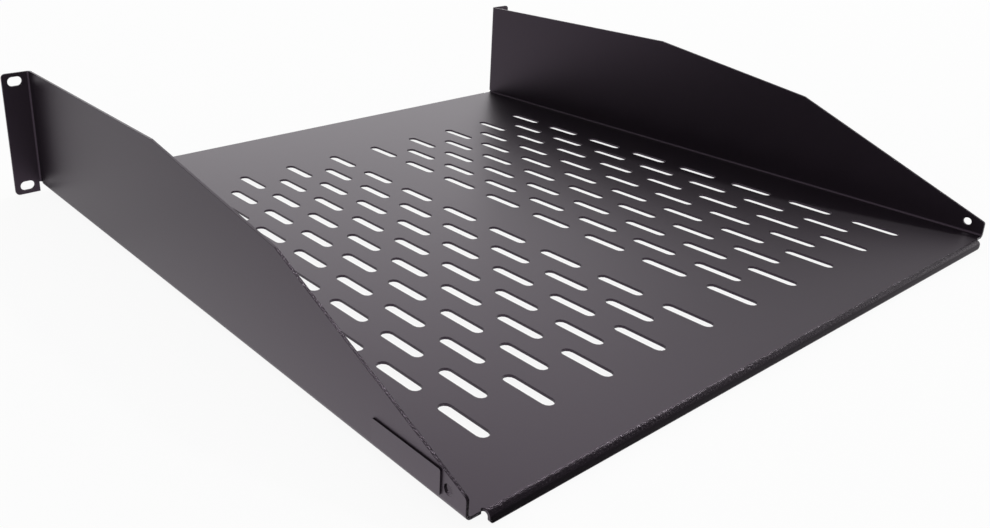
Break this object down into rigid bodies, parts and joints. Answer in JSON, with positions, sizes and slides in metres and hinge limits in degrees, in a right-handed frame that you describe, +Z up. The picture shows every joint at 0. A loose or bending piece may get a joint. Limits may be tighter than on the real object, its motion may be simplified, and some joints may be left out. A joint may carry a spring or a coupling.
{
  "type": "cantilever rack shelf",
  "caption": "Folded sheet-steel rack shelf with a slotted floor, side panels that slope down to the back, and mounting ears at the front.",
  "frame": {"origin": "middle of the four rack slots, on the front faces of the mounting ears", "axes": "+X across the rack, towards the panel with the badge; +Y back into the rack; +Z up"},
  "size_m": [0.4826, 0.4572, 0.0882],
  "materials": {
    "powder_coat": "fine-textured satin black powder coat",
    "badge": "smooth black, blank"
  },
  "bodies": {
    "root": {"shelf": "powder_coat", "side_badge": "badge"}
  },
  "joints": []
}
